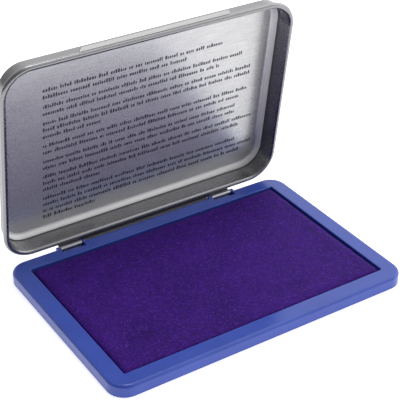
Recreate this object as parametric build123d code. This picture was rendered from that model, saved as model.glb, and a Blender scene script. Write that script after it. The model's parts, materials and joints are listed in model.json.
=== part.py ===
"""Ink pad in a hinged tin, standing open on a table.

Frame: millimetres, +Z up, +X to the right along the long side, +Y to the hinge.
The origin is the centre of the flat underside. The lid stands open against its stop.
"""
import math
import os

from build123d import *

# ---- base, the blue moulding and what it holds -------------------------------
PAD_LENGTH = 110.0            # opening in the frame, along X
PAD_WIDTH = 70.0              # opening in the frame, along Y
BORDER_WIDTH = 6.7            # flat border from the opening to the outer wall
BASE_HEIGHT = 5.0             # table to the border's top face
BASE_CORNER_RADIUS = 7.0      # plan radius of the outer corners
BASE_EDGE_RADIUS = 1.2        # rounding between the border and the outer wall
OPENING_CORNER_RADIUS = 0.6   # plan radius of the opening's corners
OPENING_EDGE_RADIUS = 0.35    # softened edge round the opening
FRAME_WALL = 1.6              # outer wall of the frame
FRAME_PLATE = 1.6             # border plate of the frame
FRAME_FOOT_GAP = 0.3          # wall of the frame stops this far above the table
TRAY_FLOOR = 1.2              # floor of the bottom tray
TRAY_RIB = 1.4                # upright rib that presses the hem against the border
TRAY_CHAMFER = 0.4            # chamfer round the tray's underside
TRAY_CLEARANCE = 0.1          # tray inside the frame's wall, all round
LABEL_RECESS = (80.0, 40.0, 0.25)  # shallow panel moulded in the underside
SNAP_LENGTH = 8.0             # snap bead on the tray's edge
SNAP_DEPTH = 0.4              # how far a snap bead stands out
SNAP_HEIGHT = 0.6
SNAP_CLEARANCE = 0.1          # snap bead in its groove, all round
SNAP_OFFSETS = (-36.0, 0.0, 36.0)  # along X, on the front and rear edges

# ---- cushion ------------------------------------------------------------------
BOARD_THICKNESS = 0.7
COVER_THICKNESS = 0.4
COVER_DROP = 0.35             # cover's top lies this far below the border's top face
COVER_SIDE_GAP = 0.3          # cover to the wall of the opening
HEM_WIDTH = 2.2               # cover's flat hem, held under the border
FELT_SIDE_GAP = 0.05          # felt inside the cover

# ---- hinge --------------------------------------------------------------------
OPEN_ANGLE = 82.0             # lid from closed to its open stop, in degrees
PIN_RADIUS = 0.65
PIN_CLEARANCE = 0.05          # knuckle on pin, radial
LUG_CLEARANCE = 0.01          # pin in lug, radial
LEAF_THICKNESS = 0.4
KNUCKLE_LENGTH = 9.0
KNUCKLE_OFFSET = 34.5         # knuckle centre to the middle of the base
KNUCKLE_END_GAP = 0.35        # knuckle to the side of its pocket
KNUCKLE_SLIT = 0.25           # open seam of the curl
HINGE_BEHIND_FACE = 0.3       # hinge axis behind the base's rear face
HINGE_BELOW_TOP = 0.9         # hinge axis below the border's top face
LUG_LENGTH = 1.1
LUG_WALL = 0.4                # plastic round the pin
LUG_GAP = 0.15                # leaf's edge to the lug
POCKET_DEPTH = 3.5            # from the rear face to the pocket's front wall
POCKET_WALL = 0.8
POCKET_FLOOR_GAP = 0.5        # knuckle to the pocket's floor
LEAF_RELIEF = 0.25            # rear face set back behind the hinge leaf
LEAF_BELOW_AXIS = 0.1         # free edge of the leaf past the hinge axis
HOOK_ANGLE = 75.0             # leaf's hook round the bead
STOP_LENGTH = 7.0
STOP_REACH = 1.5              # stop ledge beyond the hinge axis
STOP_THICKNESS = 1.1
STOP_GAP = 0.1                # leaf to ledge with the lid open

# ---- lid ----------------------------------------------------------------------
LID_SIDE_INSET = 0.4          # bead's outer edge inside the base's side faces
LID_REAR_INSET = 0.4          # bead's outer edge inside the base's rear face
LID_FRONT_OVERHANG = 0.9      # bead's outer edge beyond the base's front face
LID_CLOSED_GAP = 0.2          # bead to border with the lid shut
LID_CORNER_RADIUS = 12.0      # plan radius of the bead's outer edge
BEAD_RADIUS = 1.1
TIN = 0.3                     # sheet thickness
BEAD_SEAM_ANGLE = 50.0        # open part of the curl, next to the wall
WALL_HEIGHT = 5.8             # bead centre to the crease
CREASE_STEP = 0.3
PANEL_BEND_RADIUS = 2.4       # inside radius between crease and panel
LIP_LENGTH = 62.0             # thumb lip on the free edge
LIP_REACH = 1.5               # lip beyond the bead
LIP_RISE = 0.35               # lip's outer edge above its root
LIP_CORNER_RADIUS = 1.2

# ---- worked out from the values above -----------------------------------------
BASE_LENGTH = PAD_LENGTH + 2 * BORDER_WIDTH
BASE_WIDTH = PAD_WIDTH + 2 * BORDER_WIDTH
REAR_FACE = BASE_WIDTH / 2
PLATE_UNDERSIDE = BASE_HEIGHT - FRAME_PLATE
COVER_TOP = BASE_HEIGHT - COVER_DROP
HEM_UNDERSIDE = PLATE_UNDERSIDE - COVER_THICKNESS
KNUCKLE_INNER = PIN_RADIUS + PIN_CLEARANCE
KNUCKLE_OUTER = KNUCKLE_INNER + LEAF_THICKNESS
LUG_RADIUS = PIN_RADIUS + LUG_WALL
HINGE_Y = REAR_FACE + HINGE_BEHIND_FACE
HINGE_Z = BASE_HEIGHT - HINGE_BELOW_TOP
POCKET_LENGTH = KNUCKLE_LENGTH + 2 * KNUCKLE_END_GAP
POCKET_FLOOR = HINGE_Z - KNUCKLE_OUTER - POCKET_FLOOR_GAP
PIN_LENGTH = POCKET_LENGTH + 2 * LUG_LENGTH
LEAF_LENGTH = 2 * KNUCKLE_OFFSET + KNUCKLE_LENGTH

# the lid is drawn shut; its path is the bead's centre line
BEAD_Z = BASE_HEIGHT + LID_CLOSED_GAP + BEAD_RADIUS
BEAD_HALF_LENGTH = BASE_LENGTH / 2 - LID_SIDE_INSET - BEAD_RADIUS
BEAD_REAR = REAR_FACE - LID_REAR_INSET - BEAD_RADIUS
BEAD_FRONT = -(REAR_FACE + LID_FRONT_OVERHANG - BEAD_RADIUS)
LID_CENTRE_Y = (BEAD_REAR + BEAD_FRONT) / 2
BEAD_HALF_WIDTH = (BEAD_REAR - BEAD_FRONT) / 2
PATH_RADIUS = LID_CORNER_RADIUS - BEAD_RADIUS
PANEL_DEPTH = WALL_HEIGHT + PANEL_BEND_RADIUS


def rounded_plate(length, width, radius, bottom, top):
    """A flat plate with rounded plan corners between two heights."""
    return Pos(0, 0, bottom) * extrude(RectangleRounded(length, width, radius), amount=top - bottom)


def block(x0, x1, y0, y1, z0, z1):
    """A box between two corners."""
    return Pos((x0 + x1) / 2, (y0 + y1) / 2, (z0 + z1) / 2) * Box(x1 - x0, y1 - y0, z1 - z0)


def rod(radius, length, x, y, z):
    """A cylinder along X with its middle at x."""
    return Pos(x, y, z) * (Rot(0, 90, 0) * Cylinder(radius, length))


def along_x(profile, length, x):
    """A YZ profile (local x is Y, local y is Z) carried along X, with its middle at x."""
    return Pos(x, 0, 0) * extrude(Plane.YZ * profile, amount=length / 2, both=True)


def round_the_rim(profile):
    """Carry a lid section (local x outward from the bead's centre, local y up) round the rim."""
    straight_x = BEAD_HALF_LENGTH - PATH_RADIUS
    straight_y = BEAD_HALF_WIDTH - PATH_RADIUS
    standing = Plane.XZ * profile
    solid = None
    sides = ((BEAD_HALF_LENGTH, straight_y), (BEAD_HALF_WIDTH, straight_x)) * 2
    for quarter, (to_side, half_run) in enumerate(sides):
        side = extrude(Pos(to_side, 0, 0) * standing, amount=half_run, both=True, dir=(0, 1, 0))
        turned = revolve(Pos(PATH_RADIUS, 0, 0) * standing, axis=Axis.Z, revolution_arc=90)
        corner = Pos(to_side - PATH_RADIUS, half_run, 0) * turned
        piece = Rot(0, 0, 90 * quarter) * (side + corner)
        solid = piece if solid is None else solid + piece
    return Pos(0, LID_CENTRE_Y, BEAD_Z) * solid


def opened(shape):
    """Turn a lid piece from shut to its open stop."""
    return shape.rotate(Axis((0, HINGE_Y, HINGE_Z), (1, 0, 0)), -OPEN_ANGLE)


def sector(inner, outer, start, sweep):
    """A flat ring sector, angles in degrees from local x."""
    reach = 4 * outer
    steps = 8
    fan = [(0, 0)]
    for step in range(steps + 1):
        angle = math.radians(start + sweep * step / steps)
        fan.append((reach * math.cos(angle), reach * math.sin(angle)))
    return (Circle(outer) - Circle(inner)) & make_face(Polyline(*fan, close=True))


def leaf_direction():
    """Angle of the leaf's outward normal, with the lid shut.

    The leaf's middle plane passes through the hinge axis and its inner face touches the bead.
    """
    to_bead_y = BEAD_REAR - HINGE_Y
    to_bead_z = BEAD_Z - HINGE_Z
    distance = math.hypot(to_bead_y, to_bead_z)
    reach = LEAF_THICKNESS / 2 + BEAD_RADIUS
    return math.degrees(math.atan2(to_bead_z, to_bead_y) - math.acos(-reach / distance))


def pad_frame():
    """Blue frame: border, outer wall, hinge pockets, pin lugs and the lid's open stops."""
    outer = rounded_plate(BASE_LENGTH, BASE_WIDTH, BASE_CORNER_RADIUS, FRAME_FOOT_GAP, BASE_HEIGHT)
    outer = fillet(outer.faces().sort_by(Axis.Z)[-1].edges(), BASE_EDGE_RADIUS)
    inside = rounded_plate(BASE_LENGTH - 2 * FRAME_WALL, BASE_WIDTH - 2 * FRAME_WALL,
                           BASE_CORNER_RADIUS - FRAME_WALL, 0, PLATE_UNDERSIDE)
    opening = rounded_plate(PAD_LENGTH, PAD_WIDTH, OPENING_CORNER_RADIUS, 0, BASE_HEIGHT + 1)
    frame = outer - inside - opening
    rim = frame.faces().sort_by(Axis.Z)[-1].inner_wires()[0].edges()
    frame = fillet(rim, OPENING_EDGE_RADIUS)

    pocket_front = REAR_FACE - POCKET_DEPTH
    relief = block(-LEAF_LENGTH / 2, LEAF_LENGTH / 2, REAR_FACE - LEAF_RELIEF,
                   REAR_FACE + 1, 0, BASE_HEIGHT + 1)
    frame = frame - relief
    lug_back = HINGE_Y + LUG_RADIUS
    saddle_bottom = POCKET_FLOOR - POCKET_WALL
    for side in (-1, 1):
        middle = side * KNUCKLE_OFFSET
        half = POCKET_LENGTH / 2
        shell = block(middle - half - LUG_LENGTH, middle + half + LUG_LENGTH, pocket_front - POCKET_WALL,
                      REAR_FACE - FRAME_WALL / 2, saddle_bottom, PLATE_UNDERSIDE + 0.1)
        saddle = block(middle - half - LUG_LENGTH, middle + half + LUG_LENGTH, REAR_FACE - FRAME_WALL,
                       lug_back, saddle_bottom, HINGE_Z)
        barrel = rod(LUG_RADIUS, PIN_LENGTH, middle, HINGE_Y, HINGE_Z)
        barrel = barrel & block(middle - PIN_LENGTH, middle + PIN_LENGTH, REAR_FACE - FRAME_WALL,
                                lug_back + 1, 0, BASE_HEIGHT)
        frame = frame + shell + saddle + barrel
        frame = frame - block(middle - half, middle + half, pocket_front,
                              lug_back + 1, POCKET_FLOOR, BASE_HEIGHT + 1)
        frame = frame - rod(PIN_RADIUS + LUG_CLEARANCE, PIN_LENGTH, middle, HINGE_Y, HINGE_Z)
        frame = frame + stop_ledge(middle - side * (half + LUG_LENGTH + STOP_LENGTH / 2))
    return frame - snap_beads(SNAP_CLEARANCE)


def stop_ledge(x):
    """Ledge behind the rear wall that the open lid's leaf rests on."""
    tilt = OPEN_ANGLE + leaf_direction() - 90
    drop = (LEAF_THICKNESS / 2 + STOP_GAP) / math.cos(math.radians(tilt))
    slope = -math.tan(math.radians(tilt))
    root = REAR_FACE - FRAME_WALL / 2
    tip = HINGE_Y + STOP_REACH
    root_top = HINGE_Z - drop + slope * (root - HINGE_Y)
    tip_top = HINGE_Z - drop + slope * (tip - HINGE_Y)
    outline = Polyline((root, root_top), (tip, tip_top), (tip, tip_top - STOP_THICKNESS / 2),
                       (root, root_top - 2 * STOP_THICKNESS), close=True)
    return along_x(make_face(outline), STOP_LENGTH, x)


def snap_beads(clearance):
    """Snap beads on the tray's front and rear edges, or with a clearance their grooves."""
    edge = REAR_FACE - FRAME_WALL - TRAY_CLEARANCE
    half = SNAP_LENGTH / 2 + clearance
    beads = []
    for x in SNAP_OFFSETS:
        for side in (-1, 1):
            root = side * (edge - SNAP_HEIGHT)
            tip = side * (edge + SNAP_DEPTH + clearance)
            beads.append(block(x - half, x + half, min(root, tip), max(root, tip),
                               TRAY_FLOOR - SNAP_HEIGHT - clearance, TRAY_FLOOR + clearance))
    return Compound(beads)


def base_tray():
    """Bottom tray: floor, rib under the cover's hem and snap beads."""
    length = BASE_LENGTH - 2 * (FRAME_WALL + TRAY_CLEARANCE)
    width = BASE_WIDTH - 2 * (FRAME_WALL + TRAY_CLEARANCE)
    radius = BASE_CORNER_RADIUS - FRAME_WALL - TRAY_CLEARANCE
    floor = rounded_plate(length, width, radius, 0, TRAY_FLOOR)
    floor = chamfer(floor.faces().sort_by(Axis.Z)[0].edges(), TRAY_CHAMFER)
    recess = Pos(0, 0, LABEL_RECESS[2] / 2) * Box(*LABEL_RECESS)
    rib_length = PAD_LENGTH + 2 * (HEM_WIDTH - TRAY_RIB)
    rib_width = PAD_WIDTH + 2 * (HEM_WIDTH - TRAY_RIB)
    rib = rounded_plate(rib_length + 2 * TRAY_RIB, rib_width + 2 * TRAY_RIB, TRAY_RIB,
                        TRAY_FLOOR, HEM_UNDERSIDE)
    rib = rib - rounded_plate(rib_length, rib_width, OPENING_CORNER_RADIUS, 0, HEM_UNDERSIDE + 1)
    tray = floor - recess + rib
    return tray + snap_beads(0)


def cushion_board():
    """Stiff board between the tray's floor and the felt."""
    length = PAD_LENGTH - 2 * (COVER_SIDE_GAP + COVER_THICKNESS)
    width = PAD_WIDTH - 2 * (COVER_SIDE_GAP + COVER_THICKNESS)
    return rounded_plate(length, width, OPENING_CORNER_RADIUS, TRAY_FLOOR, TRAY_FLOOR + BOARD_THICKNESS)


def felt_core():
    """Absorbent felt, from the board up to the cover."""
    length = PAD_LENGTH - 2 * (COVER_SIDE_GAP + COVER_THICKNESS + FELT_SIDE_GAP)
    width = PAD_WIDTH - 2 * (COVER_SIDE_GAP + COVER_THICKNESS + FELT_SIDE_GAP)
    return rounded_plate(length, width, OPENING_CORNER_RADIUS, TRAY_FLOOR + BOARD_THICKNESS,
                         COVER_TOP - COVER_THICKNESS)


def pad_cover():
    """Inked cover over the felt, with its hem clamped under the border."""
    length = PAD_LENGTH - 2 * COVER_SIDE_GAP
    width = PAD_WIDTH - 2 * COVER_SIDE_GAP
    inner_length = length - 2 * COVER_THICKNESS
    inner_width = width - 2 * COVER_THICKNESS
    dome = rounded_plate(length, width, OPENING_CORNER_RADIUS + COVER_THICKNESS, HEM_UNDERSIDE, COVER_TOP)
    hem = rounded_plate(PAD_LENGTH + 2 * HEM_WIDTH, PAD_WIDTH + 2 * HEM_WIDTH, TRAY_RIB,
                        HEM_UNDERSIDE, PLATE_UNDERSIDE)
    hollow = rounded_plate(inner_length, inner_width, OPENING_CORNER_RADIUS, 0, COVER_TOP - COVER_THICKNESS)
    return dome + hem - hollow


def hinge_pin(side):
    """Steel wire pin through one knuckle and its two lugs."""
    return rod(PIN_RADIUS, PIN_LENGTH, side * KNUCKLE_OFFSET, HINGE_Y, HINGE_Z)


def lid_section():
    """Section of the lid's edge: panel margin, bend, crease, wall and curled bead."""
    wall_in = -BEAD_RADIUS
    bend_x = wall_in - CREASE_STEP - PANEL_BEND_RADIUS
    bend_y = PANEL_DEPTH - PANEL_BEND_RADIUS
    wall = Pos(wall_in + TIN / 2, WALL_HEIGHT / 2) * Rectangle(TIN, WALL_HEIGHT)
    step_width = CREASE_STEP + TIN
    ledge = Pos(wall_in + TIN - step_width / 2, WALL_HEIGHT + TIN / 2) * Rectangle(step_width, TIN)
    bend = Pos(bend_x, bend_y) * sector(PANEL_BEND_RADIUS, PANEL_BEND_RADIUS + TIN, 0, 90)
    margin_end = -PATH_RADIUS
    margin = Pos((bend_x + margin_end) / 2, PANEL_DEPTH + TIN / 2) * Rectangle(bend_x - margin_end, TIN)
    bead = sector(BEAD_RADIUS - TIN, BEAD_RADIUS, 180, 360 - BEAD_SEAM_ANGLE)
    return wall + ledge + bend + margin + bead


def thumb_lip():
    """Flared lip on the middle of the lid's free edge, shut position."""
    root = BEAD_FRONT - BEAD_RADIUS + TIN
    tip = BEAD_FRONT - BEAD_RADIUS - LIP_REACH
    outline = Polyline((root, BEAD_Z), (tip, BEAD_Z + LIP_RISE), (tip, BEAD_Z + LIP_RISE + TIN),
                       (root, BEAD_Z + TIN), close=True)
    strip = along_x(make_face(outline), LIP_LENGTH, 0)
    depth = 4 * LIP_REACH
    plan = Pos(0, tip + depth / 2, 0) * RectangleRounded(LIP_LENGTH, depth, LIP_CORNER_RADIUS)
    return strip & (Pos(0, 0, BASE_HEIGHT) * extrude(plan, amount=2 * BEAD_Z))


def lid_shell():
    """Drawn tin lid with its curled bead and thumb lip, standing open."""
    length = 2 * (BEAD_HALF_LENGTH - PATH_RADIUS)
    width = 2 * (BEAD_HALF_WIDTH - PATH_RADIUS)
    panel = Pos(0, LID_CENTRE_Y, BEAD_Z + PANEL_DEPTH + TIN / 2) * Box(length, width, TIN)
    return opened(round_the_rim(lid_section()) + panel + thumb_lip())


def leaf_band(normal, start, end, length, x):
    """Flat stretch of the leaf between two distances from the hinge axis."""
    flat = Pos(0, (start + end) / 2) * Rectangle(LEAF_THICKNESS, end - start)
    return along_x(Pos(HINGE_Y, HINGE_Z) * Rot(0, 0, normal) * flat, length, x)


def hinge_leaf():
    """Steel strip hooked round the rear bead, its ends curled into knuckles, standing open."""
    normal = leaf_direction()
    to_bead = math.hypot(BEAD_REAR - HINGE_Y, BEAD_Z - HINGE_Z)
    run = math.sqrt(to_bead ** 2 - (BEAD_RADIUS + LEAF_THICKNESS / 2) ** 2)
    hook = Pos(BEAD_REAR, BEAD_Z) * sector(BEAD_RADIUS, BEAD_RADIUS + LEAF_THICKNESS, normal, HOOK_ANGLE)
    slit_angle = math.degrees(2 * math.asin(KNUCKLE_SLIT / 2 / KNUCKLE_INNER))
    web_angle = math.degrees(math.asin(LEAF_THICKNESS / 2 / KNUCKLE_INNER))
    curl = sector(KNUCKLE_INNER, KNUCKLE_OUTER, 90 + web_angle + slit_angle, 360 - slit_angle)
    middle_length = 2 * (KNUCKLE_OFFSET - POCKET_LENGTH / 2 - LUG_LENGTH - KNUCKLE_END_GAP)
    leaf = along_x(hook, LEAF_LENGTH, 0)
    leaf = leaf + leaf_band(normal, LUG_RADIUS + LUG_GAP, run, LEAF_LENGTH, 0)
    leaf = leaf + leaf_band(normal, -LEAF_BELOW_AXIS, run, middle_length, 0)
    for side in (-1, 1):
        middle = side * KNUCKLE_OFFSET
        leaf = leaf + leaf_band(normal, (KNUCKLE_INNER + KNUCKLE_OUTER) / 2, run, KNUCKLE_LENGTH, middle)
        leaf = leaf + along_x(Pos(HINGE_Y, HINGE_Z) * Rot(0, 0, normal) * curl, KNUCKLE_LENGTH, middle)
    return opened(leaf)


PIECES = {
    "pad_frame": pad_frame,
    "base_tray": base_tray,
    "cushion_board": cushion_board,
    "felt_core": felt_core,
    "pad_cover": pad_cover,
    "hinge_pin_left": lambda: hinge_pin(-1),
    "hinge_pin_right": lambda: hinge_pin(1),
    "lid_shell": lid_shell,
    "hinge_leaf": hinge_leaf,
}

os.makedirs("parts", exist_ok=True)
for node, make in PIECES.items():
    shape = make()
    export_step(shape, f"parts/{node}.step")
    size = shape.bounding_box().size
    print(f"{node:16s} {shape.volume:10.1f} mm3  {size.X:.2f} x {size.Y:.2f} x {size.Z:.2f}")
print(f"hinge axis at y {HINGE_Y:.2f}, z {HINGE_Z:.2f}; lid opens by {OPEN_ANGLE:.1f} degrees")
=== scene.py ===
"""Looks of the ink pad: tin lid, blue frame and inked cushion, round its CAD model.

Metres, +Z up, +Y to the hinge, the origin at the centre of the flat underside.
Places inside materials are in millimetres, and so is every value marked as such.
The rows of marks on the lid are laid out with the lid shut and then turned to its open stop.
"""
import json
import math
import random

import bmesh
import bpy
import numpy as np
from mathutils import Matrix, Vector, noise


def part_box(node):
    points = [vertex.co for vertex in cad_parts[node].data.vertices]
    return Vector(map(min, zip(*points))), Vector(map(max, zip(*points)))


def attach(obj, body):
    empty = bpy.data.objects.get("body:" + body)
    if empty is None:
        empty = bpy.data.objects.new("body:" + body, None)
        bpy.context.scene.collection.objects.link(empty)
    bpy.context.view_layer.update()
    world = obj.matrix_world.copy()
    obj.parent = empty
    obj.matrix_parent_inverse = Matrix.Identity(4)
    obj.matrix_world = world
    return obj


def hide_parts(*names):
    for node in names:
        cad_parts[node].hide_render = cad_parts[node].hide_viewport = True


MM = 0.001

# ---- camera, floor and light ---------------------------------------------------
CAMERA_PLACE = (-0.1983, -0.3003, 0.2604)
CAMERA_AZIMUTH = 33.06        # degrees to the right of +Y
CAMERA_TILT = 32.02           # degrees below the horizon
CAMERA_ROLL = 0.28
LENS = 106.76                 # focal length, in millimetres
SENSOR_WIDTH = 36             # in millimetres
FLOOR_HALF_SIZE = 3.0
FLOOR_CORNER = 1.0
FLOOR_CORNER_STEPS = 8
FLOOR_GAP = 0.02 * MM         # keeps the floor and the base's underside apart
FLOOR_GLOW = 0.65
SKY_BRIGHT = 1.5              # world brightness to the right and beyond the object
SKY_DIM = 0.25                # world brightness to the left and behind the camera
SKY_AZIMUTH = 70.0            # of the brightest part, degrees to the right of +Y
SKY_RANGE = (-0.5, 0.8)       # cosines from that azimuth where the sky is dimmest and brightest
KEY_PLACE = (0.63, -0.12, 0.52)  # of the large soft box at the right
KEY_SIZE = 0.9
KEY_POWER = 1.8
TOP_PLACE = (0.10, 0.12, 0.70)   # of the small one overhead
TOP_SIZE = 0.19
TOP_POWER = 0.8

# ---- colours, each pair a deeper and a paler tone --------------------------------
FRAME_BLUES = ((0.029, 0.065, 0.39), (0.037, 0.081, 0.44))
TRAY_BLUES = ((0.020, 0.024, 0.075), (0.028, 0.032, 0.095))
PANEL_TINS = ((0.58, 0.58, 0.585), (0.64, 0.64, 0.645))
PANEL_GRAIN = (0.53, 0.53, 0.54)
# paler tone of the lid's bend: a painted highlight
BEND_PAINTED_HIGHLIGHT = (0.76, 0.76, 0.76)
# darker tone of the drawn walls and bead: painted shade
DRAWN_WALL_PAINTED_SHADE = (0.27, 0.27, 0.28)
LIP_TIN = (0.42, 0.42, 0.42)
OUTSIDE_TINS = ((0.34, 0.34, 0.35), (0.45, 0.45, 0.46))
# dark line along the crease: painted shade
CREASE_PAINTED_SHADE = (0.12, 0.12, 0.13)
WIRE_STEELS = ((0.22, 0.22, 0.23), (0.30, 0.30, 0.31))
# dark steel of the hinge leaf between lid and base: painted shade
LEAF_PAINTED_SHADE_STEELS = ((0.11, 0.11, 0.13), (0.17, 0.17, 0.19))
# paler steel on the knuckles: painted light
KNUCKLE_PAINTED_LIGHT = (0.36, 0.36, 0.40)
BOARD_GREYS = ((0.30, 0.28, 0.25), (0.40, 0.38, 0.34))
INKS = ((0.026, 0.0043, 0.122), (0.042, 0.0068, 0.182))
NAP_INK = (0.011, 0.002, 0.058)
FUZZ_INK = (0.095, 0.022, 0.32)
LINT_INK = (0.10, 0.05, 0.28)
CLOTH_SHEEN = (0.35, 0.25, 0.8)
FIBRE_VIOLETS = ((0.05, 0.03, 0.17), (0.12, 0.08, 0.29))
PRINT_GREYS = ((0.022, 0.022, 0.040), (0.060, 0.060, 0.085))
FLOOR_WHITES = ((0.90, 0.90, 0.90), (0.92, 0.92, 0.92))

# ---- finishes; each range of roughness runs over the finish's own noise -----------
FRAME_GLOSS = 0.14            # lowest roughness of the blue frame
TRAY_GLOSS = 0.45
PLASTIC_RUB = 0.12            # roughness added where plastic is rubbed
FRAME_GRAIN = 0.0006          # depth of the grain, in millimetres
TRAY_GRAIN = 0.012
THREAD_STEP = 0.42            # between threads of the cover, in millimetres
UNIT_WAVE = 0.314             # wavelength of a wave texture at scale 1
PANEL_METAL = 0.76            # share of metal in the frosted panel's look
BEND_METAL = 0.62
FROSTED = (0.22, 0.48)
BENT = (0.52, 0.66)
BURNISHED = (0.22, 0.32)
WIRE_ROUGH = 0.28
LEAF_ROUGH = 0.30
STEEL_RUB = 0.12              # roughness added between the drawn lines

# ---- zones of the lid, in millimetres ----------------------------------------------
CREASE_DEPTH = 2.4            # panel to the crease
DRAWN_ZONE = (0.5, -0.3)      # height over the crease where drawn walls start and are full
BEND_ZONE = (-0.02, -0.5)     # height over the panel where the bend and its painted highlight start and are full
OUTSIDE_ZONE = (0.1, 0.2)     # height over the panel where the outside starts and is full
CREASE_SHADE_HEIGHT = 0.15           # middle of the line of painted shade over the crease
CREASE_SHADE_ZONE = (0.26, 0.12)     # distance from that middle where the painted shade starts and is full
LIP_REACH = 1.5               # thumb lip beyond the bead
LIP_BLEND = 0.15              # over which the lip's tone comes in

# ---- hinge, in millimetres ---------------------------------------------------------
PIN_IN_LUG = 1.45             # pin's end to the knuckle
KNUCKLE_LIGHT_BLEND = 0.2               # half the stretch over which the knuckles' painted light fades out

# ---- cushion ---------------------------------------------------------------------
BOARD_TO_OPENING = 0.7 * MM   # cushion board's edge to the opening's wall
CUSHION_GAP = 0.05 * MM       # cushion's side to the opening's wall, at the end
CUSHION_START_DROP = 0.03 * MM  # top of the uninflated form below the CAD cover
CUSHION_CORNER = 1.0 * MM
CUSHION_CORNER_STEPS = 5
CUSHION_CAP = 0.42 * MM       # how far the inflation may move a point
SIDE_SHARE = 0.3              # part of the cap left free at the sides before inflation
SIM_SCALE = 5.0               # the cloth is simulated this many times larger
SIM_VOXEL = 4.0 * MM
SIM_FRAMES = 20
SIM_PRESSURE = 4.0
SIM_QUALITY = 5
UNEVEN_DEPTH = 0.05 * MM      # slow waves of the felt under the cover
UNEVEN_SIZE = 9.0 * MM
PUCKER_DEPTH = 0.12 * MM      # puckers along the edge of the cover
PUCKER_SIZE = 3.2 * MM
PUCKER_REACH = 5.0 * MM
PUCKER_LAYER = 40 * MM        # keeps the puckers' noise apart from the waves'
HEM_THICKNESS = 0.36 * MM
HEM_INSET = 0.1 * MM          # hem's edge inside the CAD cover's

# ---- loose fibres on the cushion --------------------------------------------------
FIBRE_SEED = 11
FIBRE_COUNT = 260
FIBRE_LENGTH = (0.7 * MM, 2.2 * MM)
FIBRE_WIDTH = 0.07 * MM
FIBRE_STEPS = 5
FIBRE_TURN = 0.5              # most that a fibre turns at each step, in radians
FIBRE_RISE = 0.3              # fibre's middle above the cover, as a share of its width
FIBRE_MARGIN = 2.5 * MM
RAY_START = 0.05              # height from which the cushion's top is sought

# ---- rows of marks printed inside the lid ------------------------------------------
MARK_SEED = 5
TIN = 0.3 * MM                # thickness of the sheet
ROW_LEFT = -41.0 * MM
ROW_FIRST = -24.6 * MM        # middle of the first row, along the shut lid's Y
ROW_STEP = 2.98 * MM
GROUP_STEP = 1.15 * MM        # extra space before each group of rows
# lengths of the rows in each group, in millimetres
ROW_GROUPS = ((77, 57), (83, 75), (90, 90, 23), (89, 86), (84, 84), (90, 88, 21), (86, 91, 87, 19))
MARK_WIDTHS = (0.42 * MM, 0.80 * MM)
MARK_HEIGHT = 1.15 * MM
TALL_MARK_HEIGHT = 1.65 * MM
TALL_MARK_SHARE = 0.3
MARK_SPACE = 0.34 * MM
MARKS_IN_BLOCK = (2, 10)
BLOCK_SPACE = 0.85 * MM
MARK_CORNER = 0.15 * MM
MARK_THICKNESS = 0.012 * MM
MARK_LIFT = 0.03 * MM


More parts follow.
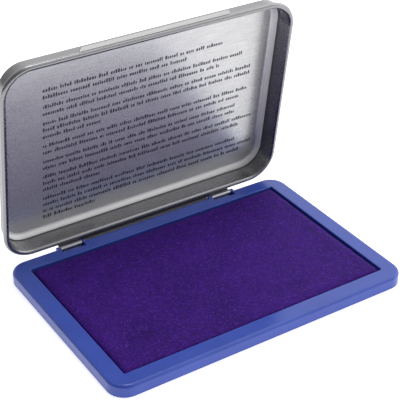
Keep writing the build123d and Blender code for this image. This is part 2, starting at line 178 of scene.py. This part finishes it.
class Finish:
    """One procedural material, built on a Principled shader, with places in millimetres."""

    def __init__(self, name, **constants):
        self.material = bpy.data.materials.new(name)
        self.material.use_nodes = True
        self.tree = self.material.node_tree
        self.shader = self.tree.nodes["Principled BSDF"]
        for socket, value in constants.items():
            self.shader.inputs[socket.replace("_", " ")].default_value = value
        coordinates = self.tree.nodes.new("ShaderNodeTexCoord")
        scale = self.tree.nodes.new("ShaderNodeVectorMath")
        scale.operation = "SCALE"
        scale.inputs["Scale"].default_value = 1 / MM
        self.tree.links.new(coordinates.outputs["Object"], scale.inputs[0])
        self.place = scale.outputs[0]
        self.normal = None

    def link(self, source, socket):
        self.tree.links.new(source, socket)

    def stretched(self, factors):
        """The place in millimetres, scaled by a factor along each axis."""
        multiply = self.tree.nodes.new("ShaderNodeVectorMath")
        multiply.operation = "MULTIPLY"
        multiply.inputs[1].default_value = factors
        self.link(self.place, multiply.inputs[0])
        return multiply.outputs[0]

    def noise(self, size, detail=2.0, roughness=0.5, stretch=(1, 1, 1), distortion=0.0):
        """Noise with features of a size in millimetres."""
        node = self.tree.nodes.new("ShaderNodeTexNoise")
        node.inputs["Scale"].default_value = 1 / size
        node.inputs["Detail"].default_value = detail
        node.inputs["Roughness"].default_value = roughness
        node.inputs["Distortion"].default_value = distortion
        self.link(self.stretched(stretch), node.inputs["Vector"])
        return node.outputs["Fac"]

    def cells(self, size, stretch=(1, 1, 1)):
        """Distance to the nearest of scattered points, a size in millimetres apart."""
        node = self.tree.nodes.new("ShaderNodeTexVoronoi")
        node.inputs["Scale"].default_value = 1 / size
        self.link(self.stretched(stretch), node.inputs["Vector"])
        return node.outputs["Distance"]

    def waves(self, size, direction, distortion=0.0):
        """Parallel threads, a size in millimetres apart."""
        node = self.tree.nodes.new("ShaderNodeTexWave")
        node.bands_direction = direction
        node.inputs["Scale"].default_value = UNIT_WAVE / size
        node.inputs["Distortion"].default_value = distortion
        node.inputs["Detail"].default_value = 1.0
        self.link(self.place, node.inputs["Vector"])
        return node.outputs["Fac"]

    def spread(self, value, low, high, to_low=0.0, to_high=1.0):
        """A value's range stretched onto another, and held there."""
        node = self.tree.nodes.new("ShaderNodeMapRange")
        node.inputs["From Min"].default_value = low
        node.inputs["From Max"].default_value = high
        node.inputs["To Min"].default_value = to_low
        node.inputs["To Max"].default_value = to_high
        self.link(value, node.inputs["Value"])
        return node.outputs["Result"]

    def calculate(self, operation, first, second):
        node = self.tree.nodes.new("ShaderNodeMath")
        node.operation = operation
        self.link(first, node.inputs[0])
        if isinstance(second, (int, float)):
            node.inputs[1].default_value = second
        else:
            self.link(second, node.inputs[1])
        return node.outputs[0]

    def mixed(self, amount, first, second):
        """A colour between two, each an RGB triple or an earlier mix."""
        node = self.tree.nodes.new("ShaderNodeMix")
        node.data_type = "RGBA"
        self.link(amount, node.inputs["Factor"])
        for socket, colour in ((node.inputs[6], first), (node.inputs[7], second)):
            if isinstance(colour, tuple):
                socket.default_value = (*colour, 1)
            else:
                self.link(colour, socket)
        return node.outputs[2]

    def between(self, amount, first, second):
        """A number between two."""
        node = self.tree.nodes.new("ShaderNodeMix")
        self.link(amount, node.inputs[0])
        self.link(first, node.inputs[2])
        self.link(second, node.inputs[3])
        return node.outputs[0]

    def along(self, direction):
        """How far the place lies along a direction, in millimetres."""
        node = self.tree.nodes.new("ShaderNodeVectorMath")
        node.operation = "DOT_PRODUCT"
        node.inputs[1].default_value = direction
        self.link(self.place, node.inputs[0])
        return node.outputs["Value"]

    def colour(self, source):
        self.link(source, self.shader.inputs["Base Color"])

    def roughness(self, source):
        self.link(source, self.shader.inputs["Roughness"])

    def bump(self, height, depth):
        """Adds relief, depth in millimetres."""
        node = self.tree.nodes.new("ShaderNodeBump")
        node.inputs["Distance"].default_value = depth * MM
        self.link(height, node.inputs["Height"])
        if self.normal:
            self.link(self.normal, node.inputs["Normal"])
        self.normal = node.outputs["Normal"]
        self.link(self.normal, self.shader.inputs["Normal"])


def moulded_plastic(name, blues, gloss, grain):
    """Injection-moulded plastic: faint flow marks, fine grain and a few rubbed patches."""
    finish = Finish(name, IOR=1.49, Specular_IOR_Level=0.5)
    flow = finish.noise(14, detail=3, stretch=(1, 1, 2))
    finish.colour(finish.mixed(finish.spread(flow, 0.3, 0.7), *blues))
    rub_wear_and_painted_light = finish.noise(5, detail=4, roughness=0.65)
    finish.roughness(finish.spread(rub_wear_and_painted_light, 0.3, 0.75, gloss, gloss + PLASTIC_RUB))
    finish.bump(finish.noise(2.4, detail=1), 0.005)
    finish.bump(finish.noise(0.16, detail=2), grain)
    return finish.material


def tinplate(joint):
    """Satin tinplate with rolling grain and stains, frosted on the panel, burnished on the walls; the
    bend is painted paler as a highlight, the drawn walls and bead darker as painted shade, and a line of
    painted shade runs along the crease.
    """
    finish = Finish("tinplate_satin")
    opened = turned_open(joint)
    # heights below are measured along the open panel's normal, from the origin
    panel_normal = opened.to_3x3() @ Vector((0, 0, 1))
    height = finish.along(panel_normal)
    hinge = Vector(joint["pos_m"]) / MM
    crease = (panel_height(opened) / MM) - CREASE_DEPTH
    crease += hinge.dot(panel_normal) - hinge.z
    panel = crease + CREASE_DEPTH
    drawn = finish.spread(height, crease + DRAWN_ZONE[0], crease + DRAWN_ZONE[1])
    bent = finish.spread(height, panel + BEND_ZONE[0], panel + BEND_ZONE[1])
    outside = finish.spread(height, panel + OUTSIDE_ZONE[0], panel + OUTSIDE_ZONE[1])
    # mask of the painted shade along the crease
    over_crease = finish.calculate("SUBTRACT", height, crease + CREASE_SHADE_HEIGHT)
    crease_shade = finish.spread(finish.calculate("ABSOLUTE", over_crease, 0), *CREASE_SHADE_ZONE)
    edgeward = opened.to_3x3() @ Vector((0, -1, 0))
    lid_points = mesh_points(frame["nodes"]["lid_shell"].data)
    lip = float((lid_points @ np.array(edgeward)).max()) / MM - LIP_REACH
    thumbed = finish.spread(finish.along(edgeward), lip, lip + LIP_BLEND)

    stain = finish.noise(11, detail=4, roughness=0.6)
    grain = finish.noise(0.5, detail=3, stretch=(0.06, 1, 1))
    tone = finish.mixed(finish.spread(stain, 0.3, 0.7), *PANEL_TINS)
    tone = finish.mixed(finish.spread(grain, 0.35, 0.7), tone, PANEL_GRAIN)
    # the bend is painted paler: painted highlight
    tone = finish.mixed(bent, tone, BEND_PAINTED_HIGHLIGHT)
    # the drawn walls and bead are painted darker: painted shade
    tone = finish.mixed(drawn, tone, DRAWN_WALL_PAINTED_SHADE)
    tone = finish.mixed(thumbed, tone, LIP_TIN)
    deep, pale = OUTSIDE_TINS
    tone = finish.mixed(outside, tone, finish.mixed(finish.spread(grain, 0.35, 0.65), pale, deep))
    # the crease gets a line of painted shade
    finish.colour(finish.mixed(crease_shade, tone, CREASE_PAINTED_SHADE))

    panel_metal = finish.spread(drawn, 0, 1, PANEL_METAL, 1)
    bend_metal = finish.spread(drawn, 0, 1, BEND_METAL, 1)
    finish.link(finish.between(bent, panel_metal, bend_metal), finish.shader.inputs["Metallic"])
    frosting = finish.noise(0.1, detail=1, stretch=(0.5, 1, 1))
    frosted = finish.spread(frosting, 0.42, 0.58, *FROSTED)
    stretched = finish.spread(frosting, 0.3, 0.7, *BENT)
    burnished = finish.spread(grain, 0.3, 0.7, *BURNISHED)
    finish.roughness(finish.between(drawn, finish.between(bent, frosted, stretched), burnished))
    finish.bump(grain, 0.0012)
    finish.bump(finish.noise(2.6, detail=2), 0.004)
    return finish.material


def drawn_steel(name, steels, rough, rub_wear_and_painted_light=()):
    """Steel strip or wire with lines drawn along X, painted brighter over the given spans as painted
    light on the knuckles.
    """
    finish = Finish(name, Metallic=1.0)
    lines = finish.noise(0.12, detail=3, stretch=(0.05, 1, 1))
    deep, pale = steels
    steel = finish.mixed(finish.spread(lines, 0.3, 0.7), pale, deep)
    # spans painted paler here are painted light on the knuckles
    for start, end in rub_wear_and_painted_light:
        from_middle = finish.calculate("SUBTRACT", finish.along((1, 0, 0)), (start + end) / 2)
        reach = finish.calculate("ABSOLUTE", from_middle, 0)
        half = (end - start) / 2
        wear_and_painted_light = finish.spread(reach, half + KNUCKLE_LIGHT_BLEND, half - KNUCKLE_LIGHT_BLEND)
        steel = finish.mixed(wear_and_painted_light, steel, KNUCKLE_PAINTED_LIGHT)
    finish.colour(steel)
    finish.roughness(finish.spread(lines, 0.3, 0.7, rough, rough + STEEL_RUB))
    finish.bump(lines, 0.003)
    return finish.material


def pressed_board():
    """Grey pressed board with short fibres."""
    finish = Finish("pressed_board", Roughness=0.9)
    pulp = finish.noise(0.8, detail=5, roughness=0.7)
    finish.colour(finish.mixed(finish.spread(pulp, 0.3, 0.7), *BOARD_GREYS))
    finish.bump(pulp, 0.03)
    return finish.material


def inked_cloth():
    """Ink-soaked cotton over felt: fine weave, raised fuzz and uneven, still wet ink."""
    finish = Finish("inked_cloth", Specular_IOR_Level=0.1, Sheen_Weight=0.04, Sheen_Roughness=0.5)
    finish.shader.inputs["Sheen Tint"].default_value = (*CLOTH_SHEEN, 1)
    soak = finish.noise(13, detail=4, roughness=0.6)
    fuzz = finish.noise(0.9, detail=5, roughness=0.75, distortion=0.6)
    nap = finish.noise(1.6, detail=4, roughness=0.8, stretch=(1, 0.35, 1))
    warp = finish.waves(THREAD_STEP, "X", distortion=0.5)
    weft = finish.waves(THREAD_STEP, "Y", distortion=0.5)
    lint = finish.cells(2.6, stretch=(1, 0.45, 1))
    ink = finish.mixed(finish.spread(soak, 0.3, 0.7), *INKS)
    ink = finish.mixed(finish.spread(nap, 0.47, 0.28), ink, NAP_INK)
    ink = finish.mixed(finish.spread(fuzz, 0.50, 0.70), ink, FUZZ_INK)
    ink = finish.mixed(finish.spread(lint, 0.06, 0.02), ink, LINT_INK)
    finish.colour(ink)
    finish.roughness(finish.spread(nap, 0.3, 0.75, 0.62, 0.9))
    finish.bump(nap, 0.06)
    finish.bump(finish.calculate("MAXIMUM", warp, weft), 0.02)
    finish.bump(fuzz, 0.05)
    return finish.material


def loose_fibre():
    """Thin cotton fibres, paler than the cloth they lie on."""
    finish = Finish("loose_fibre", Roughness=0.8)
    finish.colour(finish.mixed(finish.noise(2), *FIBRE_VIOLETS))
    return finish.material


def printed_ink():
    """Dark grey print on tin, a little worn."""
    finish = Finish("printed_ink", Roughness=0.45)
    wear_and_painted_light = finish.noise(0.5, detail=3, roughness=0.7)
    finish.colour(finish.mixed(finish.spread(wear_and_painted_light, 0.35, 0.75), *PRINT_GREYS))
    finish.bump(wear_and_painted_light, 0.003)
    return finish.material


def studio_floor():
    """Matt white table top with a faint glow of its own."""
    finish = Finish("studio_floor", Roughness=0.85, Specular_IOR_Level=0.1, Emission_Strength=FLOOR_GLOW)
    finish.shader.inputs["Emission Color"].default_value = (1, 1, 1, 1)
    finish.colour(finish.mixed(finish.noise(60), *FLOOR_WHITES))
    return finish.material


def new_piece(name, mesh, material, smooth=True):
    """An object for a mesh, in one material."""
    piece = bpy.data.objects.new(name, mesh)
    bpy.context.scene.collection.objects.link(piece)
    mesh.materials.clear()
    mesh.materials.append(material)
    for face in mesh.polygons:
        face.use_smooth = smooth
    return piece


def mesh_points(mesh):
    """The mesh's points, one row each."""
    points = np.zeros(len(mesh.vertices) * 3, np.float32)
    mesh.vertices.foreach_get("co", points)
    return points.reshape(-1, 3).astype(float)


def set_points(mesh, points):
    mesh.vertices.foreach_set("co", points.astype(np.float32).ravel())
    mesh.update()


def applied(piece):
    """The piece's mesh with its modifiers in it, in place of the old one."""
    evaluated = piece.evaluated_get(bpy.context.evaluated_depsgraph_get())
    mesh = bpy.data.meshes.new_from_object(evaluated)
    piece.modifiers.clear()
    piece.data = mesh
    return mesh


def rounded_outline(half_x, half_y, radius, steps):
    """Points round a rectangle with rounded corners, anticlockwise."""
    points = []
    corners = ((1, 1, 0), (-1, 1, 90), (-1, -1, 180), (1, -1, 270))
    for sign_x, sign_y, start in corners:
        for step in range(steps + 1):
            angle = math.radians(start + 90 * step / steps)
            x = sign_x * (half_x - radius) + radius * math.cos(angle)
            y = sign_y * (half_y - radius) + radius * math.sin(angle)
            points.append((x, y))
    return points


def add_prism(form, outline, bottom, top):
    """Adds a closed form between two heights over an outline."""
    low = [form.verts.new((x, y, bottom)) for x, y in outline]
    high = [form.verts.new((x, y, top)) for x, y in outline]
    form.faces.new(list(reversed(low)))
    form.faces.new(high)
    for i in range(len(outline)):
        j = (i + 1) % len(outline)
        form.faces.new((low[i], low[j], high[j], high[i]))


def slab(outline, bottom, top):
    """A mesh of one closed form between two heights."""
    form = bmesh.new()
    add_prism(form, outline, bottom, top)
    mesh = bpy.data.meshes.new("slab")
    form.to_mesh(mesh)
    form.free()
    return mesh


def inflate(piece):
    """Cloth simulation of the closed form under pressure, with no point moved past the cap."""
    before = mesh_points(piece.data)
    cloth = piece.modifiers.new("cloth", "CLOTH")
    cloth.settings.quality = SIM_QUALITY
    cloth.settings.use_pressure = True
    cloth.settings.uniform_pressure_force = SIM_PRESSURE
    cloth.settings.effector_weights.gravity = 0
    cloth.point_cache.frame_start = 1
    cloth.point_cache.frame_end = SIM_FRAMES
    for step in range(1, SIM_FRAMES + 1):
        bpy.context.scene.frame_set(step)
    mesh = applied(piece)
    moved = mesh_points(mesh) - before
    length = np.linalg.norm(moved, axis=1, keepdims=True)
    cap = CUSHION_CAP * SIM_SCALE
    moved *= cap * np.tanh(length / cap) / np.maximum(length, 1e-9)
    set_points(mesh, before + moved)


def felt_relief(x, y, edge):
    """Height of the cover's slow waves and edge puckers at a point."""
    waves = noise.noise(Vector((x, y, 0)) / UNEVEN_SIZE) * UNEVEN_DEPTH
    pucker = noise.noise(Vector((x, y, PUCKER_LAYER)) / PUCKER_SIZE) * PUCKER_DEPTH
    return waves + pucker * math.exp(-edge / PUCKER_REACH)


def ink_cushion():
    """Felt cushion under its inked cover, swollen against the frame's opening."""
    cover_low, cover_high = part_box("pad_cover")
    _, board_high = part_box("cushion_board")
    opening_x = board_high.x + BOARD_TO_OPENING
    opening_y = board_high.y + BOARD_TO_OPENING
    half_x = opening_x - CUSHION_GAP - SIDE_SHARE * CUSHION_CAP
    half_y = opening_y - CUSHION_GAP - SIDE_SHARE * CUSHION_CAP
    bottom = board_high.z + CUSHION_CAP
    top = cover_high.z - CUSHION_START_DROP
    outline = rounded_outline(half_x, half_y, CUSHION_CORNER, CUSHION_CORNER_STEPS)
    piece = new_piece("ink_cushion", slab(outline, bottom, top), inked_cloth())
    piece.data.transform(Matrix.Scale(SIM_SCALE, 4))
    remesh = piece.modifiers.new("remesh", "REMESH")
    remesh.mode = "VOXEL"
    remesh.voxel_size = SIM_VOXEL
    applied(piece)
    inflate(piece)
    piece.data.transform(Matrix.Scale(1 / SIM_SCALE, 4))
    rounding = piece.modifiers.new("rounding", "SUBSURF")
    rounding.levels = 1
    mesh = applied(piece)
    points = mesh_points(mesh)
    middle = (bottom + top) / 2
    for point in points:
        edge = min(opening_x - abs(point[0]), opening_y - abs(point[1]))
        if point[2] > middle:
            point[2] += felt_relief(point[0], point[1], edge)
    limit_x = opening_x - CUSHION_GAP
    limit_y = opening_y - CUSHION_GAP
    points[:, 0] = np.clip(points[:, 0], -limit_x, limit_x)
    points[:, 1] = np.clip(points[:, 1], -limit_y, limit_y)
    points[:, 2] = np.maximum(points[:, 2], board_high.z)
    set_points(mesh, points)
    add_hem(mesh, opening_x, opening_y, cover_low, cover_high)
    for face in mesh.polygons:
        face.use_smooth = True
    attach(piece, "base")
    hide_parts("pad_cover", "felt_core")
    return piece


def add_hem(mesh, opening_x, opening_y, cover_low, cover_high):
    """The cover's flat hem, a frame-shaped strip that lies under the border."""
    form = bmesh.new()
    form.from_mesh(mesh)
    outer_x = cover_high.x - HEM_INSET
    outer_y = cover_high.y - HEM_INSET
    inner = rounded_outline(opening_x, opening_y, CUSHION_CORNER, CUSHION_CORNER_STEPS)
    outer = rounded_outline(outer_x, outer_y, CUSHION_CORNER, CUSHION_CORNER_STEPS)
    rings = []
    for outline, height in ((inner, 0), (outer, 0), (outer, HEM_THICKNESS), (inner, HEM_THICKNESS)):
        rings.append([form.verts.new((x, y, cover_low.z + height)) for x, y in outline])
    count = len(inner)
    for ring in range(4):
        first, second = rings[ring], rings[(ring + 1) % 4]
        for i in range(count):
            j = (i + 1) % count
            form.faces.new((first[j], first[i], second[i], second[j]))
    form.to_mesh(mesh)
    form.free()


def top_height(piece):
    """A function giving the height of a piece's top at a point."""
    graph = bpy.context.evaluated_depsgraph_get()
    shape = piece.evaluated_get(graph)

    def height(x, y):
        hit, place, _, _ = shape.ray_cast(Vector((x, y, RAY_START)), Vector((0, 0, -1)))
        return place.z if hit else 0.0

    return height


def loose_fibres(cushion):
    """Short curved fibres lying on the cushion."""
    chance = random.Random(FIBRE_SEED)
    height = top_height(cushion)
    low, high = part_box("felt_core")
    form = bmesh.new()
    for _ in range(FIBRE_COUNT):
        x = chance.uniform(low.x + FIBRE_MARGIN, high.x - FIBRE_MARGIN)
        y = chance.uniform(low.y + FIBRE_MARGIN, high.y - FIBRE_MARGIN)
        heading = chance.uniform(0, 2 * math.pi)
        turn = chance.uniform(-FIBRE_TURN, FIBRE_TURN)
        step = chance.uniform(*FIBRE_LENGTH) / FIBRE_STEPS
        ring = None
        for _ in range(FIBRE_STEPS + 1):
            side = Vector((-math.sin(heading), math.cos(heading), 0)) * FIBRE_WIDTH / 2
            centre = Vector((x, y, height(x, y) + FIBRE_WIDTH * FIBRE_RISE))
            rise = Vector((0, 0, FIBRE_WIDTH / 2))
            corners = [form.verts.new(centre + offset) for offset in (side, rise, -side, -rise)]
            if ring is None:
                form.faces.new(list(reversed(corners)))
            else:
                for i in range(4):
                    j = (i + 1) % 4
                    form.faces.new((ring[i], ring[j], corners[j], corners[i]))
            ring = corners
            x += step * math.cos(heading)
            y += step * math.sin(heading)
            heading += turn
        form.faces.new(ring)
    mesh = bpy.data.meshes.new("loose_fibres")
    form.to_mesh(mesh)
    form.free()
    piece = new_piece("loose_fibres", mesh, loose_fibre())
    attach(piece, "base")


def turned_open(joint):
    """The matrix that takes a piece laid out on the shut lid to the open stop."""
    place = Vector(joint["pos_m"])
    angle = -math.radians(joint["range_deg"][1])
    turn = Matrix.Rotation(angle, 4, Vector(joint["axis"]))
    return Matrix.Translation(place) @ turn @ Matrix.Translation(-place)


def panel_height(opened):
    """Height of the inside of the lid's panel, with the lid shut."""
    points = mesh_points(frame["nodes"]["lid_shell"].data)
    back = np.array(opened.inverted())
    return float((points @ back[:3, :3].T + back[:3, 3])[:, 2].max()) - TIN


def printed_rows(opened):
    """Rows of plain upright marks printed on the inside of the lid, with no lettering."""
    chance = random.Random(MARK_SEED)
    printed = panel_height(opened) - MARK_LIFT
    form = bmesh.new()
    middle = ROW_FIRST
    for group in ROW_GROUPS:
        for row in group:
            left = ROW_LEFT
            while left < ROW_LEFT + row * MM:
                for _ in range(chance.randint(*MARKS_IN_BLOCK)):
                    width = chance.uniform(*MARK_WIDTHS)
                    tall = chance.random() < TALL_MARK_SHARE
                    height = TALL_MARK_HEIGHT if tall else MARK_HEIGHT
                    mark_x = left + width / 2
                    mark_y = middle + MARK_HEIGHT / 2 - height / 2
                    outline = rounded_outline(width / 2, height / 2, MARK_CORNER, 1)
                    outline = [(mark_x + x, mark_y + y) for x, y in outline]
                    add_prism(form, outline, printed - MARK_THICKNESS, printed)
                    left += width + MARK_SPACE
                left += BLOCK_SPACE
            middle += ROW_STEP
        middle += GROUP_STEP
    mesh = bpy.data.meshes.new("printed_rows")
    form.to_mesh(mesh)
    form.free()
    mesh.transform(opened)
    piece = new_piece("printed_rows", mesh, printed_ink(), smooth=False)
    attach(piece, "lid")


def knuckles():
    """Where the knuckles start and end along X, in millimetres."""
    ranges = []
    for pin in ("hinge_pin_left", "hinge_pin_right"):
        low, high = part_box(pin)
        ranges.append((low.x / MM + PIN_IN_LUG, high.x / MM - PIN_IN_LUG))
    return ranges


def finish_cad_nodes():
    """Materials of the CAD nodes that stay."""
    wire = drawn_steel("steel_wire", WIRE_STEELS, WIRE_ROUGH)
    finishes = {
        "pad_frame": moulded_plastic("blue_plastic", FRAME_BLUES, FRAME_GLOSS, FRAME_GRAIN),
        "base_tray": moulded_plastic("tray_plastic", TRAY_BLUES, TRAY_GLOSS, TRAY_GRAIN),
        "cushion_board": pressed_board(),
        "hinge_pin_left": wire,
        "hinge_pin_right": wire,
        "lid_shell": tinplate(frame["joints"][0]),
        # the leaf's dark steel is painted shade, and its knuckle spans are painted light
        "hinge_leaf": drawn_steel("leaf_steel", LEAF_PAINTED_SHADE_STEELS, LEAF_ROUGH, knuckles()),
    }
    for node, material in finishes.items():
        mesh = frame["nodes"][node].data
        mesh.materials.clear()
        mesh.materials.append(material)


def add_floor():
    """A wide white sheet just under the base."""
    form = bmesh.new()
    outline = rounded_outline(FLOOR_HALF_SIZE, FLOOR_HALF_SIZE, FLOOR_CORNER, FLOOR_CORNER_STEPS)
    form.faces.new([form.verts.new((x, y, -FLOOR_GAP)) for x, y in outline])
    mesh = bpy.data.meshes.new("floor")
    form.to_mesh(mesh)
    form.free()
    new_piece("floor", mesh, studio_floor(), smooth=False)


def add_soft_boxes():
    """Two area lights aimed at the object, at the right and overhead."""
    boxes = (("key", KEY_PLACE, KEY_SIZE, KEY_POWER), ("top", TOP_PLACE, TOP_SIZE, TOP_POWER))
    for name, place, size, power in boxes:
        light = bpy.data.lights.new(name, "AREA")
        light.size = size
        light.energy = power
        lamp = bpy.data.objects.new(name, light)
        lamp.location = place
        lamp.rotation_euler = (-Vector(place)).to_track_quat("-Z", "Y").to_euler()
        lamp.visible_camera = False
        bpy.context.scene.collection.objects.link(lamp)


def add_sky():
    """White world light, strongest at the right and beyond the object, dim behind the camera."""
    world = bpy.data.worlds.new("studio")
    world.use_nodes = True
    tree = world.node_tree
    background = tree.nodes["Background"]
    coordinates = tree.nodes.new("ShaderNodeTexCoord")
    ahead = tree.nodes.new("ShaderNodeVectorMath")
    ahead.operation = "DOT_PRODUCT"
    azimuth = math.radians(SKY_AZIMUTH)
    ahead.inputs[1].default_value = (math.sin(azimuth), math.cos(azimuth), 0)
    strength = tree.nodes.new("ShaderNodeMapRange")
    strength.inputs["From Min"].default_value = SKY_RANGE[0]
    strength.inputs["From Max"].default_value = SKY_RANGE[1]
    strength.inputs["To Min"].default_value = SKY_DIM
    strength.inputs["To Max"].default_value = SKY_BRIGHT
    tree.links.new(coordinates.outputs["Generated"], ahead.inputs[0])
    tree.links.new(ahead.outputs["Value"], strength.inputs["Value"])
    tree.links.new(strength.outputs["Result"], background.inputs["Strength"])
    background.inputs["Color"].default_value = (1, 1, 1, 1)
    bpy.context.scene.world = world
    bpy.context.scene.view_settings.view_transform = "Standard"


def add_camera():
    """The camera, turned to the right of +Y, tilted down and rolled a little."""
    data = bpy.data.cameras.new("camera")
    data.lens = LENS
    data.sensor_width = SENSOR_WIDTH
    camera = bpy.data.objects.new("camera", data)
    aim = Matrix.Rotation(-math.radians(CAMERA_AZIMUTH), 4, "Z")
    aim = aim @ Matrix.Rotation(math.radians(90 - CAMERA_TILT), 4, "X")
    aim = aim @ Matrix.Rotation(math.radians(CAMERA_ROLL), 4, "Z")
    camera.matrix_world = Matrix.Translation(CAMERA_PLACE) @ aim
    bpy.context.scene.collection.objects.link(camera)
    bpy.context.scene.camera = camera


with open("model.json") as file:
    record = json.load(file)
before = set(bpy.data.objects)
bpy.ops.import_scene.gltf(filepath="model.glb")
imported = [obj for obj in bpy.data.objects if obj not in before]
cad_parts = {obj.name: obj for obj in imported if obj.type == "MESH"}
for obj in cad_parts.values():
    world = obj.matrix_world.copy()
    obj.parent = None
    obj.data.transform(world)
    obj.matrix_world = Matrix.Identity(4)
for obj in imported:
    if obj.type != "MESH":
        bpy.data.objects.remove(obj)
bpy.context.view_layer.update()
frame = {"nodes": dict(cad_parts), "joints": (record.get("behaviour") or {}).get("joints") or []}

finish_cad_nodes()
loose_fibres(ink_cushion())
printed_rows(turned_open(frame["joints"][0]))
add_floor()
add_soft_boxes()
add_sky()
add_camera()
